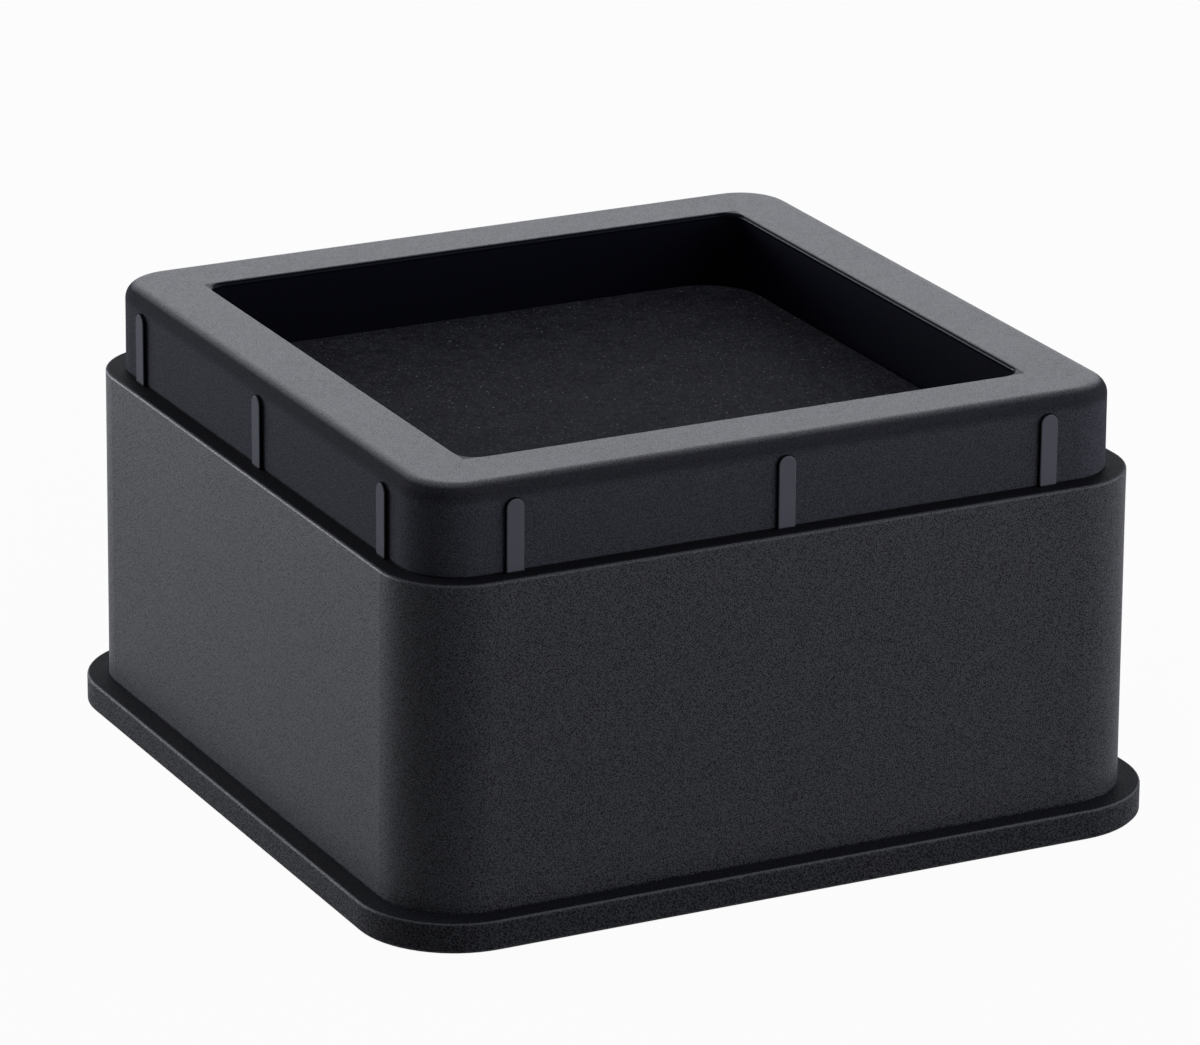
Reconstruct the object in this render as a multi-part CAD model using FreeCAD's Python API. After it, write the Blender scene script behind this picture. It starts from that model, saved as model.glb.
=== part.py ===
"""Square stackable bed riser, in millimetres, standing on z = 0 with +Z up and its centre on the Z axis.

A plastic moulding with a flanged foot, a slightly drafted skirt, a shoulder and a narrower collar. A bed leg
stands in the square recess in the collar's rim, on a thin anti-slip pad. The underside is open: a socket takes
the collar of the riser below, and twelve raised ribs on that collar wedge in it. A lattice of ribs above the
socket carries the recess floor.
"""

import math
import os

import FreeCAD  # must be imported before Part
import Part
from FreeCAD import Vector

INCH = 25.4

# Collar and stacking fit
collar_width = 4.2 * INCH
collar_height = 0.5 * INCH
collar_corner_radius = 8.0
rim_round = 2.2
wedge_rib_width = 2.8
wedge_rib_projection = 0.6
wedge_rib_edge_bevel = 0.2
wedge_rib_drop = 2.3  # from the rim down to a rib's round top
wedge_rib_setback = 4.84  # from the start of a round corner to the middle of the nearest rib
stacking_clearance = 0.1  # between wedge ribs and socket wall, on each side
stacking_gap = 0.5  # left above a stacked rim, so that the foot carries the load
socket_lead_in = 0.8

# Skirt and foot
lift_height = 2.0 * INCH
wall = 2.5
draft_angle = 0.3  # degrees, on the outer and inner walls
flange_ledge = 3.15  # makes the foot 4.7 inches wide
flange_height = 4.4
flange_top_round = 0.5
flange_bottom_bevel = 0.4
shoulder_round = 0.4

# Leg recess and its pad
rim_width = 0.425 * INCH  # leaves an opening of 3.35 inches
recess_depth = 0.5 * INCH
recess_corner_radius = 3.0
recess_edge_round = 0.6
floor_thickness = 3.0
pad_thickness = 2.5
pad_clearance = 0.3
pad_corner_radius = 9.0
pad_edge_bevel = 0.2

# Lattice of ribs under the floor
lattice_cells = 7  # across the recess, in each direction
lattice_rib_tip = 1.6
lattice_rib_draft = 0.5  # degrees on each face

# Heights and half widths that follow
taper = math.tan(math.radians(draft_angle))
shoulder_z = lift_height
rim_z = shoulder_z + collar_height
recess_floor_z = rim_z - recess_depth
socket_top_z = collar_height + stacking_gap
collar_half = collar_width / 2
recess_half = collar_half - rim_width
socket_half = collar_half + wedge_rib_projection + stacking_clearance
skirt_half = socket_half + wall
flange_half = skirt_half + flange_ledge
corner_centre = collar_half - collar_corner_radius
wedge_rib_spacing = corner_centre - wedge_rib_setback


def corner_radius(half):
    """Radius that keeps an outer corner concentric with the collar's."""
    return half - corner_centre


def rounded_square(half, radius, z):
    """Closed wire of a square with rounded corners, centred on the Z axis."""
    straight = half - radius
    corners = [(straight, -straight), (straight, straight), (-straight, straight), (-straight, -straight)]
    arcs = []
    for quarter, (x, y) in enumerate(corners):
        start = 90.0 * (quarter - 1)
        arcs.append(Part.makeCircle(radius, Vector(x, y, z), Vector(0, 0, 1), start, start + 90.0))
    edges = []
    for arc, following in zip(arcs, arcs[1:] + arcs[:1]):
        edges.append(arc)
        edges.append(Part.makeLine(arc.lastVertex().Point, following.firstVertex().Point))
    return Part.Wire(edges)


def drafted_block(half, radius, z_low, z_high, slope=taper):
    """Solid rounded square whose sides lean in by slope on the way up from z_low."""
    lean = (z_high - z_low) * slope
    low = rounded_square(half, radius, z_low)
    high = rounded_square(half - lean, radius - lean, z_high)
    return Part.makeLoft([low, high], True, True)


def edges_at_height(solid, z, within=None):
    """Edges that lie in the plane at z and, if within is given, inside that half width."""
    found = []
    for edge in solid.Edges:
        box = edge.BoundBox
        level = abs(box.ZMin - z) < 1e-4 and abs(box.ZMax - z) < 1e-4
        reach = max(abs(box.XMin), abs(box.XMax), abs(box.YMin), abs(box.YMax))
        inside = within is None or reach < within
        if level and inside:
            found.append(edge)
    return found


def flange():
    block = drafted_block(flange_half, corner_radius(flange_half), 0, flange_height, 0)
    block = block.makeFillet(flange_top_round, edges_at_height(block, flange_height))
    return block.makeChamfer(flange_bottom_bevel, edges_at_height(block, 0))


def skirt():
    block = drafted_block(skirt_half, corner_radius(skirt_half), 0, shoulder_z)
    return block.makeFillet(shoulder_round, edges_at_height(block, shoulder_z))


def collar():
    """The collar starts a wall's thickness below the shoulder, inside the skirt."""
    low = shoulder_z - wall
    block = drafted_block(collar_half + wall * taper, collar_corner_radius, low, rim_z)
    return block.makeFillet(rim_round, edges_at_height(block, rim_z))


def wedge_rib():
    """One raised rib on the -Y side, with a round top and bevelled edges."""
    root = -collar_half + wall / 2
    radius = wedge_rib_width / 2
    centre_z = rim_z - wedge_rib_drop - radius
    foot_z = shoulder_z - wall / 2
    left_foot = Vector(-radius, root, foot_z)
    left_top = Vector(-radius, root, centre_z)
    right_top = Vector(radius, root, centre_z)
    right_foot = Vector(radius, root, foot_z)
    crown = Part.Arc(left_top, Vector(0, root, centre_z + radius), right_top).toShape()
    outline = Part.Wire([
        Part.makeLine(left_foot, left_top),
        crown,
        Part.makeLine(right_top, right_foot),
        Part.makeLine(right_foot, left_foot),
    ])
    rib = Part.Face(outline).extrude(Vector(0, -wedge_rib_projection - wall / 2, 0))
    face_y = -collar_half - wedge_rib_projection
    front = [e for e in rib.Edges if abs(e.BoundBox.YMax - face_y) < 1e-4 and e.BoundBox.ZMax > shoulder_z]
    return rib.makeChamfer(wedge_rib_edge_bevel, front)


def wedge_ribs():
    """Three ribs on each of the four sides."""
    ribs = []
    for side in range(4):
        for step in (-1, 0, 1):
            rib = wedge_rib()
            rib.translate(Vector(step * wedge_rib_spacing, 0, 0))
            rib.rotate(Vector(0, 0, 0), Vector(0, 0, 1), 90 * side)
            ribs.append(rib)
    return ribs


def leg_recess():
    """Pocket for the leg, narrower by its draft at the floor."""
    lean = recess_depth * taper
    return drafted_block(recess_half - lean, recess_corner_radius - lean, recess_floor_z, rim_z, -taper)


def stacking_socket():
    """Space for the collar of the riser below, with a lead-in at its mouth."""
    hollow = drafted_block(socket_half, corner_radius(socket_half), 0, socket_top_z)
    mouth = socket_half + socket_lead_in
    lead_in = drafted_block(mouth, corner_radius(mouth), 0, socket_lead_in, 1)
    return hollow.fuse(lead_in)


def lattice_rib(offset):
    """Upright rib along X at y = offset, thin at its lower edge and thicker at its root."""
    tip = lattice_rib_tip / 2
    root = tip + (rim_z - socket_top_z) * math.tan(math.radians(lattice_rib_draft))
    corners = [
        Vector(-skirt_half, offset - tip, socket_top_z),
        Vector(-skirt_half, offset + tip, socket_top_z),
        Vector(-skirt_half, offset + root, rim_z),
        Vector(-skirt_half, offset - root, rim_z),
    ]
    face = Part.Face(Part.makePolygon(corners + corners[:1]))
    return face.extrude(Vector(2 * skirt_half, 0, 0))


def lattice():
    """Crossed ribs: one over each side wall of the recess and the rest evenly between them."""
    outermost = recess_half + wall / 2
    pitch = 2 * outermost / lattice_cells
    ribs = []
    for line in range(lattice_cells + 1):
        rib = lattice_rib(-outermost + line * pitch)
        crossing = rib.copy()
        crossing.rotate(Vector(0, 0, 0), Vector(0, 0, 1), 90)
        ribs += [rib, crossing]
    return ribs


def underside_hollow():
    """Open space over the socket, less the lattice: a channel round the recess wall and cells under it."""
    low = socket_top_z
    skirt_core_half = socket_half - low * taper
    skirt_core = drafted_block(skirt_core_half, corner_radius(skirt_core_half), low, shoulder_z - wall)
    collar_core_half = collar_half - wall
    collar_core = drafted_block(collar_core_half, corner_radius(collar_core_half), low, rim_z - wall, 0)
    cup = drafted_block(recess_half + wall, recess_corner_radius + wall, low, rim_z, 0)
    under_floor = drafted_block(recess_half, recess_corner_radius, low, recess_floor_z - floor_thickness, 0)
    channel = skirt_core.fuse(collar_core).cut(cup)
    return Part.makeCompound([channel, under_floor]).cut(lattice())


def riser_body():
    solid = flange().fuse([skirt(), collar()] + wedge_ribs())
    solid = solid.cut([leg_recess(), stacking_socket(), underside_hollow()])
    solid = solid.removeSplitter()
    opening = edges_at_height(solid, rim_z, within=recess_half + recess_edge_round)
    return solid.makeFillet(recess_edge_round, opening)


def recess_pad():
    """Die-cut pad with round corners, lying on the recess floor."""
    half = recess_half - recess_depth * taper - pad_clearance
    top_z = recess_floor_z + pad_thickness
    pad = drafted_block(half, pad_corner_radius, recess_floor_z, top_z, 0)
    return pad.makeChamfer(pad_edge_bevel, edges_at_height(pad, top_z))


def main():
    os.makedirs("parts", exist_ok=True)
    for name, make in (("riser_body", riser_body), ("recess_pad", recess_pad)):
        shape = make()
        shape.exportStep(os.path.join("parts", name + ".step"))
        print(name, len(shape.Solids), "solid(s)", round(shape.Volume / 1000, 1), "cm3", shape.isValid())


main()
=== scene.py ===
"""Bed riser: grained black plastic on the fixed moulding, and a foam pad in its leg recess."""

import math

import bpy
import numpy as np
from mathutils import Matrix, Vector


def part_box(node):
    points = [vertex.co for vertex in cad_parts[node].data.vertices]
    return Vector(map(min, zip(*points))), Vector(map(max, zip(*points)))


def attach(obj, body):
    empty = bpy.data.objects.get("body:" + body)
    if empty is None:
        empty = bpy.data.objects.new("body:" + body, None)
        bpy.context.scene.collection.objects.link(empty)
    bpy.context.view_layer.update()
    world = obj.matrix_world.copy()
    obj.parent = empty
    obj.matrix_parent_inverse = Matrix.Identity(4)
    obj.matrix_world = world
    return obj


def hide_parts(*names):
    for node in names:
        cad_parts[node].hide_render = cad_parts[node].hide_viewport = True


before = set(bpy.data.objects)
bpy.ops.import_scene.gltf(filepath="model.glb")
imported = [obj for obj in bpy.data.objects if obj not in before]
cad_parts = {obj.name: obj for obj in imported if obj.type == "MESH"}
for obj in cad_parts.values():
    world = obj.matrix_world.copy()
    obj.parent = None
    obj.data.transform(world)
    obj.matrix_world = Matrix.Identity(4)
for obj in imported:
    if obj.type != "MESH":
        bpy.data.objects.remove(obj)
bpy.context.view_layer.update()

MM = 0.001
INCH = 25.4 * MM

# Heights and half widths of the moulding and its pad, read from the frame
body_low, body_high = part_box("riser_body")
pad_low, pad_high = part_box("recess_pad")
flange_half = body_high.x
rim_z = body_high.z
recess_floor_z = pad_low.z
pad_half = pad_high.x

# Sizes of the moulding that the finishes follow
collar_half = 4.2 * INCH / 2
recess_half = 3.35 * INCH / 2
shoulder_z = 2 * INCH
skirt_half = 56.3 * MM
flange_height = 4.4 * MM
rim_round = 2.2 * MM
rib_face_half = collar_half + 0.5 * MM
rib_side_half = collar_half + 0.12 * MM
corner_centre = collar_half - 8.0 * MM

# Half the stretch over which a thin line and a rib's face begin
line_blend = 0.05 * MM
rib_blend = 0.03 * MM

# Grain of the plastic: size of its lumps, depth of its relief, and how sharply tops stand apart from valleys
skirt_grain = 0.18 * MM
foot_grain = 0.27 * MM
hide_grain = 1.5 * MM
cloud_size = 11 * MM
flow_size = 32 * MM
grain_depth = 0.04 * MM
flow_depth = 0.05 * MM
grain_spread = 0.11
grain_turn = (0.62, 0.47, 0.35)

# Foam pad: its form, and the sizes of its pores, blotches and specks
pad_corner = 9.0 * MM
pad_edge_roll = 0.45 * MM
pad_edge_gap = 0.02 * MM
pad_wave = 0.05 * MM
pad_inner_share = 0.04
pad_pore = 0.26 * MM
pad_blotch = 1.3 * MM
pad_mottle = 6 * MM
pad_speck_cell = 0.9 * MM
pad_dust_cell = 0.38 * MM

# Greys of the plastic, then of the foam: a level, and a share of blue
# The grain's tops are paler than its valleys, partly by their own tone and partly by a painted highlight
# where the tops catch the light; the collar's grain is the same at a lower contrast.
valley_grey = (0.0005, 0.2)
grain_top_painted_highlight_grey = (0.025, 0.24)
collar_valley_grey = (0.016, 0.24)
collar_grain_top_painted_highlight_grey = (0.034, 0.24)
foot_grey = (0.006, 0.2)
# Painted shade: the rounded edge below the rim is darkened in a band.
rim_fillet_painted_shade_grey = (0.003, 0.2)
recess_grey = (0.0014, 1.6)
# Painted sheen: the ribs' faces are made paler in colour to stand in for their sheen.
rib_painted_sheen_grey = (0.058, 0.18)
# Painted shade: the sides of the ribs are painted nearly black.
rib_side_painted_shade_grey = (0.001, 0.2)
# Painted highlight: thin pale lines along the outer edges of the skirt and the foot.
edge_painted_highlight_grey = (0.045, 0.14)
# Painted shade: the ledge round the collar and the flat top of the foot are painted nearly black.
ledge_painted_shade_grey = (0.004, 0.3)
sheltered_grey = (0.010, 0.1)
pore_grey = (0.001, 0.3)
foam_grey = (0.0145, 0.3)
dust_grey = (0.11, 0)
speck_grey = (0.16, 0)

# Photograph: its width and the camera fitted to its edges
photo_width = 1200
focal_px = 6823.5
camera_azimuth = -26.859
camera_elevation = 19.359
camera_roll = 0.458
camera_distance = 967.0 * MM
camera_shift_right = -0.705 * MM
camera_shift_up = 2.442 * MM
look_at = Vector((0, 0, 32 * MM))

# Floor: its own colour, and its share of plain white where it is seen and where it is mirrored
floor_reach = 6.0
floor_colour = 0.24
floor_glow = 0.96
floor_mirrored_glow = 0.50

# Soft light: the world's strength on the object, and each lamp's azimuth, elevation, distance, width, height
# and watts
world_light = 0.16
cool_white = (0.925, 0.942, 1.0)
lamps = {
    "left_back": (-144, 9.5, 0.80, 0.70, 0.28, 10.2),
    "back": (150, 26, 0.70, 0.60, 0.36, 1.4),
    "right": (54, 20, 0.60, 1.10, 0.50, 7.2),
    "top": (-130, 80, 0.90, 0.50, 0.50, 3.0),
}


class Value:
    """A number socket; Python's operators on it add Math nodes."""

    def __init__(self, finish, socket):
        self.finish = finish
        self.socket = socket

    def maths(self, operation, *terms):
        return self.finish.node("ShaderNodeMath", {"operation": operation}, dict(enumerate(terms)))

    def __add__(self, other):
        return self.maths("ADD", self, other)

    __radd__ = __add__

    def __sub__(self, other):
        return self.maths("SUBTRACT", self, other)

    def __rsub__(self, other):
        return self.maths("SUBTRACT", other, self)

    def __mul__(self, other):
        return self.maths("MULTIPLY", self, other)

    __rmul__ = __mul__

    def __abs__(self):
        return self.maths("ABSOLUTE", self)

    def root(self):
        return self.maths("SQRT", self)

    def larger(self, other):
        return self.maths("MAXIMUM", self, other)

    def smaller(self, other):
        return self.maths("MINIMUM", self, other)

    def above(self, level, blend=0.1 * MM):
        """0 below the level and 1 above it, over a stretch of twice the blend."""
        return self.finish.ramp(self, level - blend, level + blend, 0, 1)

    def below(self, level, blend=0.1 * MM):
        return 1 - self.above(level, blend)


class Finish:
    """The nodes of a material or of the world, and the one method that adds them."""

    def __init__(self, owner):
        owner.use_nodes = True
        self.owner = owner
        self.tree = owner.node_tree
        self.tree.nodes.clear()

    def node(self, kind, settings=None, sockets=None, output=0):
        """Adds a node of a kind, sets its settings, then gives each socket its value or link."""
        made = self.tree.nodes.new(kind)
        for key, setting in (settings or {}).items():
            setattr(made, key, setting)
        for key, given in (sockets or {}).items():
            if isinstance(given, Value):
                self.tree.links.new(given.socket, made.inputs[key])
            else:
                made.inputs[key].default_value = given
        return Value(self, made.outputs[output]) if made.outputs else None

    def ramp(self, value, low, high, at_low, at_high, smooth=True):
        """Maps a value from low..high to at_low..at_high, held beyond both ends."""
        settings = {"interpolation_type": "SMOOTHSTEP" if smooth else "LINEAR"}
        return self.node("ShaderNodeMapRange", settings, {0: value, 1: low, 2: high, 3: at_low, 4: at_high})

    def mix(self, factor, first, second):
        """A colour between two colours; the factor is 0 at the first."""
        return self.node("ShaderNodeMix", {"data_type": "RGBA"}, {0: factor, 6: first, 7: second}, output=2)

    def place(self):
        """The object's own coordinates, as a vector and as x, y and z."""
        place = self.node("ShaderNodeTexCoord", output="Object")
        parts = [self.node("ShaderNodeSeparateXYZ", sockets={0: place}, output=k) for k in range(3)]
        return place, parts

    def turned(self, place):
        """Coordinates turned askew, so that no flat side lies along the layers of a noise."""
        return self.node("ShaderNodeMapping", None, {"Vector": place, "Rotation": grain_turn})

    def noise(self, place, size, detail=2.0, roughness=0.5):
        """Smooth noise whose lumps are about one size across, in metres."""
        sockets = {"Vector": place, "Scale": 1 / size, "Detail": detail, "Roughness": roughness}
        return self.node("ShaderNodeTexNoise", None, sockets)

    def tops(self, noise):
        """1 on the tops of a noise and 0 in its valleys."""
        return self.ramp(noise, 0.5 - grain_spread, 0.5 + grain_spread, 0, 1, smooth=False)

    def specks(self, place, cell, share, smallest, largest):
        """Round specks, one at most in each cell: their cover from 0 to 1, and each cell's chance number."""
        cells = {"Vector": place, "Scale": 1 / cell}
        from_seed = self.node("ShaderNodeTexVoronoi", None, cells)
        seed_colour = self.node("ShaderNodeTexVoronoi", None, cells, output="Color")
        chance = self.node("ShaderNodeSeparateColor", None, {0: seed_colour})
        size = self.ramp(chance, 1 - share, 1, smallest, largest, smooth=False)
        size = size * chance.above(1 - share, 0.001)
        return self.ramp(size - from_seed, -0.03, 0.03, 0, 1), chance

    def bump(self, height, depth, strength=1.0, under=None):
        """Surface relief; height runs from 0 to 1 and depth is in metres."""
        sockets = {"Height": height, "Distance": depth, "Strength": strength}
        if under is not None:
            sockets["Normal"] = under
        return self.node("ShaderNodeBump", None, sockets)

    def ray(self, kind):
        return self.node("ShaderNodeLightPath", output=f"Is {kind} Ray")

    def surface(self, **sockets):
        """Ends the material in a Principled shader; names use _ for the socket's spaces."""
        named = {key.replace("_", " "): given for key, given in sockets.items()}
        shader = self.node("ShaderNodeBsdfPrincipled", None, named)
        self.node("ShaderNodeOutputMaterial", None, {"Surface": shader})
        return self.owner


def grey(level, blue=0.0):
    """A neutral colour, cooler by the given share of blue."""
    return (level, level * (1 + blue / 10), level * (1 + blue), 1)


def moulding_areas(x, y, z):
    """Masks from 0 to 1 for the areas of the moulding.

    Areas are told apart by height, by the reach, which is the larger distance from the middle along X or Y,
    and by the offset. The offset is the same distance along a side, but round a corner it is measured from
    the corner's centre, so it follows the rounded outline.
    """
    out_x = abs(x) - corner_centre
    out_y = abs(y) - corner_centre
    round_x = out_x.larger(0)
    round_y = out_y.larger(0)
    round_out = (round_x * round_x + round_y * round_y).root()
    offset = round_out + out_x.larger(out_y).smaller(0) + corner_centre
    reach = abs(x).larger(abs(y))

    recess = reach.below(recess_half + 0.3 * MM) * z.above(recess_floor_z - 0.5 * MM)
    outside = 1 - recess
    rim = z.above(rim_z - 0.32 * MM, 0.27 * MM) * outside
    over_shoulder = z.above(shoulder_z + 0.2 * MM)
    rib = offset.above(rib_face_half, rib_blend) * over_shoulder
    level_with_shoulder = z.above(shoulder_z - 0.1 * MM) * z.below(shoulder_z + 0.2 * MM)
    foot = z.below(flange_height - 0.1 * MM) * offset.above(skirt_half + 0.8 * MM)
    return {
        "recess": recess,
        "rim": rim,
        # Painted shade on the rounded edge below the rim.
        "rim_fillet_painted_shade": z.above(rim_z - rim_round, 0.8 * MM) * outside * (1 - rim),
        "collar": over_shoulder * outside * (1 - rim),
        "rib": rib,
        # Painted shade along the sides of the ribs.
        "rib_side_painted_shade": offset.above(rib_side_half, rib_blend) * over_shoulder * (1 - rib),
        # Painted shade on the ledge round the collar.
        "ledge_painted_shade": level_with_shoulder * offset.below(skirt_half - 0.5 * MM),
        "skirt": (z.below(shoulder_z - 0.1 * MM) * z.above(flange_height + 0.2 * MM)
                  * offset.above(skirt_half - 1.5 * MM)),
        # Painted highlight line along the skirt's outer top edge.
        "skirt_edge_painted_highlight": (z.above(shoulder_z - 0.25 * MM, line_blend)
                       * offset.above(skirt_half - 0.3 * MM, line_blend)),
        "foot": foot,
        # Painted shade on the flat top of the foot, as on the ledge.
        "foot_top": (z.above(flange_height - 0.2 * MM, line_blend) * z.below(flange_height + 0.3 * MM)
                     * offset.above(skirt_half + 0.3 * MM)
                     * offset.below(flange_half - 0.28 * MM, line_blend)),
        # Painted highlight line along the foot's outer top edge.
        "foot_edge_painted_highlight": (z.above(flange_height - 0.26 * MM, line_blend)
                      * offset.above(flange_half - 0.24 * MM, line_blend)),
        "sheltered": offset.below(skirt_half - 1.5 * MM, 0.3 * MM) * z.below(shoulder_z - 1.0 * MM),
    }


def riser_plastic():
    """Black plastic: fine grain on the skirt, coarser on the foot, quieter elsewhere and none in the recess.

    The grain's tops are a little paler and glossier than its valleys, paler partly by their own tone and
    partly by painted highlight. The ribs are paler by painted sheen; the ledges, the top of the foot, the
    sides of the ribs and the round under the rim are blacker by painted shade; thin painted highlight lines
    follow the outer edges of the skirt and the foot.
    """
    finish = Finish(bpy.data.materials.new("riser_plastic"))
    place, (x, y, z) = finish.place()
    on = moulding_areas(x, y, z)

    turned = finish.turned(place)
    skirt_top = finish.tops(finish.noise(turned, skirt_grain, detail=1.0))
    foot_top = finish.tops(finish.noise(turned, foot_grain, detail=1.0))
    hide = finish.noise(turned, hide_grain, roughness=0.55)
    cloud = finish.noise(place, cloud_size, detail=3.0, roughness=0.55)
    flow = finish.noise(place, flow_size, detail=1.0)
    top = skirt_top * (1 - on["foot"]) + foot_top * on["foot"]

    smooth = on["recess"].larger(0.7 * on["sheltered"]).larger(0.75 * on["rib"]).larger(0.35 * on["collar"])
    relief = (top + 0.4 * hide) * (1 - smooth)
    normal = finish.bump(relief, grain_depth, 0.8)
    normal = finish.bump(flow, flow_depth, 0.25, under=normal)

    # Paler grain tops: partly their own tone, partly painted highlight.
    grain = finish.mix(top, grey(*valley_grey), grey(*grain_top_painted_highlight_grey))
    quiet = finish.mix(top, grey(*collar_valley_grey), grey(*collar_grain_top_painted_highlight_grey))
    colour = finish.mix(0.42 * on["foot"], grain, grey(*foot_grey))
    colour = finish.mix(on["collar"], colour, quiet)
    # Painted shade: a dark band on the rounded edge below the rim.
    colour = finish.mix(0.55 * on["rim_fillet_painted_shade"], colour, grey(*rim_fillet_painted_shade_grey))
    colour = finish.mix(on["recess"], colour, grey(*recess_grey))
    # Painted sheen: paler colour on the ribs' faces.
    colour = finish.mix(0.95 * on["rib"], colour, grey(*rib_painted_sheen_grey))
    # Painted shade: the sides of the ribs are made nearly black.
    colour = finish.mix(on["rib_side_painted_shade"], colour, grey(*rib_side_painted_shade_grey))
    # Painted highlight: thin pale lines on the outer edges of the skirt and the foot.
    colour = finish.mix((0.5 * on["skirt_edge_painted_highlight"]).larger(0.8 * on["foot_edge_painted_highlight"]), colour, grey(*edge_painted_highlight_grey))
    # Painted shade: the ledge and the flat top of the foot are made nearly black.
    colour = finish.mix(on["ledge_painted_shade"].larger(0.8 * on["foot_top"]), colour, grey(*ledge_painted_shade_grey))
    colour = finish.mix(0.6 * on["sheltered"], colour, grey(*sheltered_grey))

    gloss = (on["skirt"] + 0.38 * on["foot"] + 0.4 * on["sheltered"]) * (0.55 + 0.9 * top)
    gloss = gloss + on["rim"] * (0.56 + 0.3 * top + 0.4 * hide)
    gloss = gloss + 0.14 * on["recess"] * z.below(rim_z - 0.8 * MM)
    gloss = gloss * (0.85 + 0.3 * cloud)
    gloss = gloss * (1 - on["ledge_painted_shade"]) * (1 - 0.8 * on["foot_top"]) + 0.12 * on["rib"]
    gloss = gloss * (1 - 0.6 * on["skirt_edge_painted_highlight"].larger(on["foot_edge_painted_highlight"]))

    rough = 0.55 + 0.06 * (cloud - 0.5) - 0.06 * top
    rough = rough * (1 - on["collar"]) + 0.85 * on["collar"]
    rough = rough * (1 - on["recess"]) + 0.22 * on["recess"]
    return finish.surface(Base_Color=colour, Roughness=rough, IOR=1.5, Specular_IOR_Level=0.015,
                          Normal=normal, Coat_Weight=gloss.smaller(1.0), Coat_Roughness=0.46, Coat_IOR=1.265)


def pad_foam():
    """Closed-cell foam rubber: fine pores, soft blotches, a few pale specks and a dusting of fainter ones."""
    finish = Finish(bpy.data.materials.new("pad_foam"))
    place, _ = finish.place()
    turned = finish.turned(place)
    pores = finish.noise(turned, pad_pore, detail=2.0, roughness=0.6)
    blotch = finish.noise(turned, pad_blotch, detail=3.0, roughness=0.65)
    mottle = finish.noise(turned, pad_mottle)
    speck, speck_chance = finish.specks(turned, pad_speck_cell, 0.45, 0.05, 0.17)
    dust, dust_chance = finish.specks(turned, pad_dust_cell, 0.65, 0.10, 0.30)

    level = finish.ramp(0.32 * blotch + 0.18 * mottle + 0.5 * pores, 0.39, 0.61, 0, 1, smooth=False)
    colour = finish.mix(level, grey(*pore_grey), grey(*foam_grey))
    colour = finish.mix(dust * finish.ramp(dust_chance, 0.35, 1, 0.10, 0.50), colour, grey(*dust_grey))
    colour = finish.mix(speck * finish.ramp(speck_chance, 0.55, 1, 0.10, 0.60), colour, grey(*speck_grey))
    normal = finish.bump(pores, 0.05 * MM, 0.8)
    rough = 0.85 + 0.16 * (mottle - 0.5)
    return finish.surface(Base_Color=colour, Roughness=rough, IOR=1.5, Specular_IOR_Level=0.03, Normal=normal)


def put(name, points, faces, material, smooth=True):
    """A mesh object at the origin, with its place in its points."""
    mesh = bpy.data.meshes.new(name)
    mesh.from_pydata(points.tolist(), [], faces)
    mesh.polygons.foreach_set("use_smooth", np.full(len(mesh.polygons), smooth))
    mesh.materials.append(material)
    mesh.update()
    made = bpy.data.objects.new(name, mesh)
    bpy.context.scene.collection.objects.link(made)
    return made


def rounded_outline(half, corner, per_corner=14, per_side=40):
    """Points round a square with rounded corners: an arc at each corner, and even steps along each side."""
    arc = np.linspace(0, math.pi / 2, per_corner)
    step = np.linspace(-1, 1, per_side + 2)[1:-1]
    straight = half - corner
    side = np.stack([np.full(per_side, half), step * straight], 1)
    bend = np.stack([straight + corner * np.cos(arc), straight + corner * np.sin(arc)], 1)
    quarter = np.concatenate([side, bend])
    ring = []
    for turn in np.arange(4) * math.pi / 2:
        spin = np.array([[math.cos(turn), math.sin(turn)], [-math.sin(turn), math.cos(turn)]])
        ring.append(quarter @ spin)
    return np.concatenate(ring)


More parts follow.
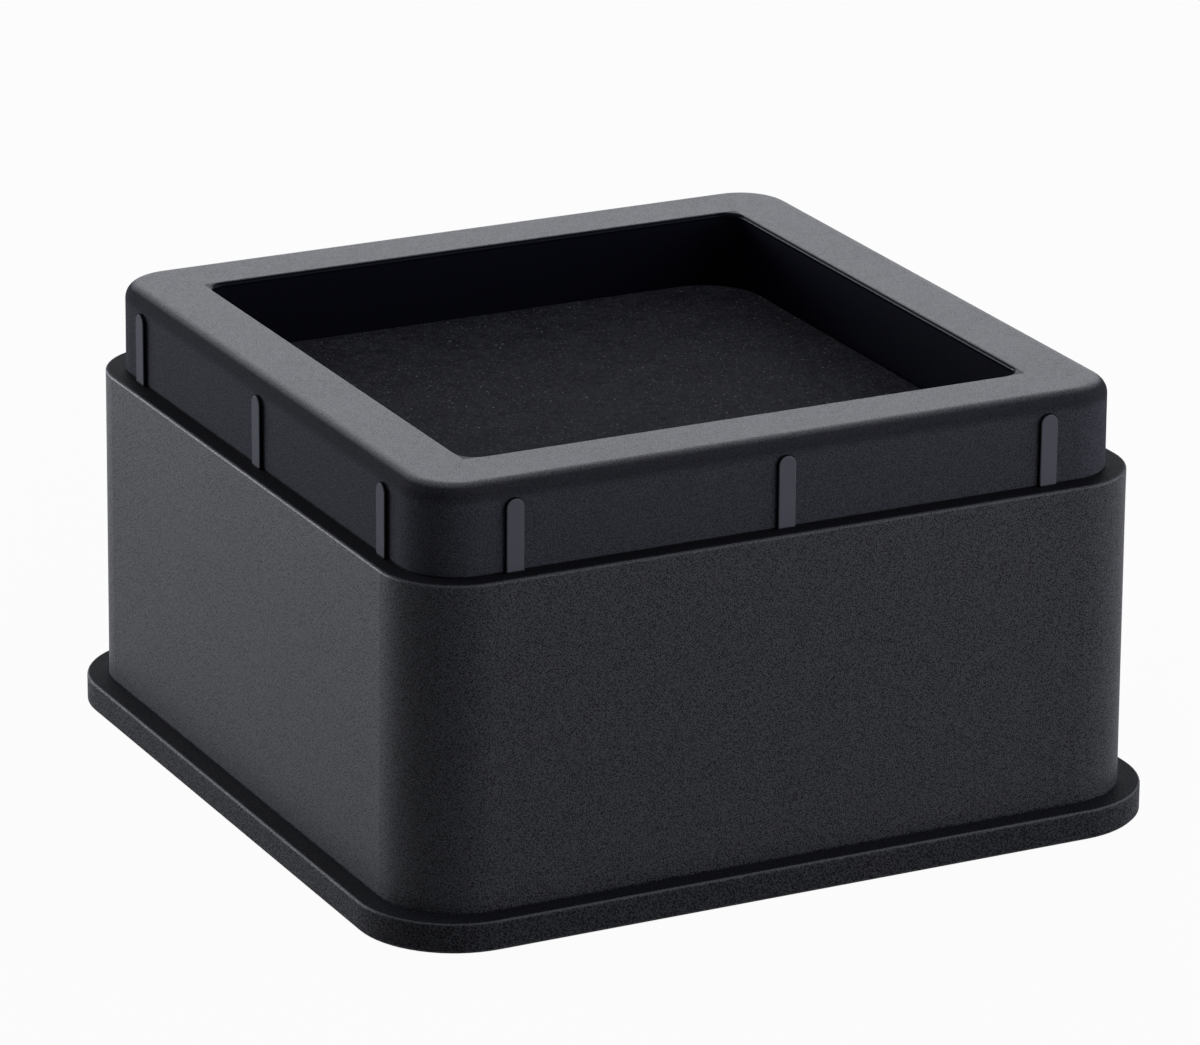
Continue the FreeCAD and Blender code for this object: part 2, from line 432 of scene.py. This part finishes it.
def foam_sheet():
    """The pad: an outline carried along a profile.

    The outline is a rounded square. The profile runs from near the top's centre out over a rolled edge, down
    the cut side and back under to the centre: at each step the outline is shrunk by a share and set at a
    height. The top dips by a few hundredths of a millimetre, as the sum of three low waves that fade out at
    the edge.
    """
    reach = pad_half - pad_edge_gap
    outline = rounded_outline(reach, pad_corner)
    roll = np.linspace(0, math.pi / 2, 7)[1:]
    flat_share = (1 - pad_edge_roll / reach) * np.linspace(pad_inner_share, 1, 34) ** 0.8
    roll_share = 1 - pad_edge_roll / reach * (1 - np.sin(roll))
    under_share = np.array([1, 0.5, pad_inner_share])
    share = np.concatenate([flat_share, roll_share, under_share])
    height = np.concatenate([
        np.full(len(flat_share), pad_high.z),
        pad_high.z - pad_edge_roll * (1 - np.cos(roll)),
        np.full(len(under_share), pad_low.z),
    ])
    x = share[:, None] * outline[:, 0]
    y = share[:, None] * outline[:, 1]
    wave = (np.sin(x / (9 * MM) + 1.3) * np.cos(y / (13 * MM))
            + np.sin(y / (7 * MM) - x / (21 * MM)) + np.cos(x / (5 * MM) + y / (11 * MM)))
    fade = np.clip(1 - (share / 0.97) ** 6, 0, 1) * (np.arange(len(share)) < len(flat_share))
    z = height[:, None] - pad_wave / 3 * np.abs(wave) * fade[:, None]

    rows, columns = x.shape
    index = np.arange(rows * columns).reshape(rows, columns)
    near, far = index[:-1], index[1:]
    quads = np.stack([near, far, np.roll(far, -1, 1), np.roll(near, -1, 1)], -1).reshape(-1, 4)
    top_centre, low_centre = rows * columns, rows * columns + 1
    first, last = index[0], index[-1]
    top_fan = np.stack([np.full(columns, top_centre), first, np.roll(first, -1)], 1)
    low_fan = np.stack([np.full(columns, low_centre), np.roll(last, -1), last], 1)
    centres = np.array([[0, 0, z[0].mean()], [0, 0, pad_low.z]])
    points = np.concatenate([np.stack([x, y, z], -1).reshape(-1, 3), centres])
    return put("foam_pad", points, quads.tolist() + top_fan.tolist() + low_fan.tolist(), pad_foam())


def floor():
    """A pale floor that shows white to the camera, and keeps a soft shadow."""
    finish = Finish(bpy.data.materials.new("pale_floor"))
    seen = finish.ray("Camera")
    mirrored = finish.ray("Glossy").larger(finish.ray("Transmission"))
    lit = finish.node("ShaderNodeBsdfDiffuse", None, {"Color": grey(floor_colour)})
    tint = finish.mix(seen, (*cool_white, 1), grey(1.0))
    glow = finish.node("ShaderNodeEmission", None, {"Color": tint, "Strength": 1.0})
    share = (seen * floor_glow).larger(mirrored * floor_mirrored_glow)
    both = finish.node("ShaderNodeMixShader", None, {0: share, 1: lit, 2: glow})
    finish.node("ShaderNodeOutputMaterial", None, {"Surface": both})
    corners = floor_reach * np.array([[-1, -1, 0], [1, -1, 0], [1, 1, 0], [-1, 1, 0]])
    made = put("floor", corners, [[0, 1, 2, 3]], finish.owner, smooth=False)


def sky():
    """A plain world: white where it is seen or mirrored, softer as a light."""
    world = bpy.data.worlds.new("studio")
    bpy.context.scene.world = world
    finish = Finish(world)
    shown = finish.ray("Camera").larger(finish.ray("Glossy")).larger(finish.ray("Transmission"))
    strength = finish.ramp(shown, 0, 1, world_light, 1, smooth=False)
    shine = finish.node("ShaderNodeBackground", None, {"Color": (*cool_white, 1), "Strength": strength})
    finish.node("ShaderNodeOutputWorld", None, {"Surface": shine})


def heading(azimuth, elevation):
    """Unit vector from the object towards a place round it; azimuth 0 is the -Y side and 90 is +X."""
    a, e = math.radians(azimuth), math.radians(elevation)
    return Vector((math.sin(a) * math.cos(e), -math.cos(a) * math.cos(e), math.sin(e)))


def softbox(name, azimuth, elevation, distance, width, height, watts):
    """A rectangular lamp that faces the object."""
    lamp = bpy.data.lights.new(name, "AREA")
    lamp.shape = "RECTANGLE"
    lamp.size = width
    lamp.size_y = height
    lamp.energy = watts
    lamp.color = cool_white
    made = bpy.data.objects.new(name, lamp)
    away = heading(azimuth, elevation)
    made.location = look_at + away * distance
    made.rotation_mode = "QUATERNION"
    made.rotation_quaternion = away.to_track_quat("Z", "Y")
    made.visible_camera = False
    bpy.context.scene.collection.objects.link(made)


def camera():
    """The photograph's view: turned by azimuth and elevation, rolled a little and moved in its own plane."""
    back = heading(camera_azimuth, camera_elevation)
    level = Vector((0, 0, 1)).cross(back).normalized()
    upright = back.cross(level)
    roll = math.radians(camera_roll)
    right = math.cos(roll) * level + math.sin(roll) * upright
    up = -math.sin(roll) * level + math.cos(roll) * upright
    place = look_at + right * camera_shift_right + up * camera_shift_up + back * camera_distance
    data = bpy.data.cameras.new("camera")
    data.sensor_fit = "HORIZONTAL"
    data.sensor_width = 36
    data.lens = focal_px * data.sensor_width / photo_width
    data.clip_start = 0.01
    made = bpy.data.objects.new("camera", data)
    axes = Matrix((right, up, back)).transposed()
    made.matrix_world = Matrix.Translation(place) @ axes.to_4x4()
    bpy.context.scene.collection.objects.link(made)
    bpy.context.scene.camera = made


def dress_body():
    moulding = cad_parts["riser_body"]
    moulding.material_slots[0].material = riser_plastic()


def dress_pad():
    pad = foam_sheet()
    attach(pad, "root")
    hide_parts("recess_pad")


def main():
    bpy.context.scene.view_settings.view_transform = "Standard"
    dress_body()
    dress_pad()
    floor()
    sky()
    for name, setting in lamps.items():
        softbox(name, *setting)
    camera()


main()
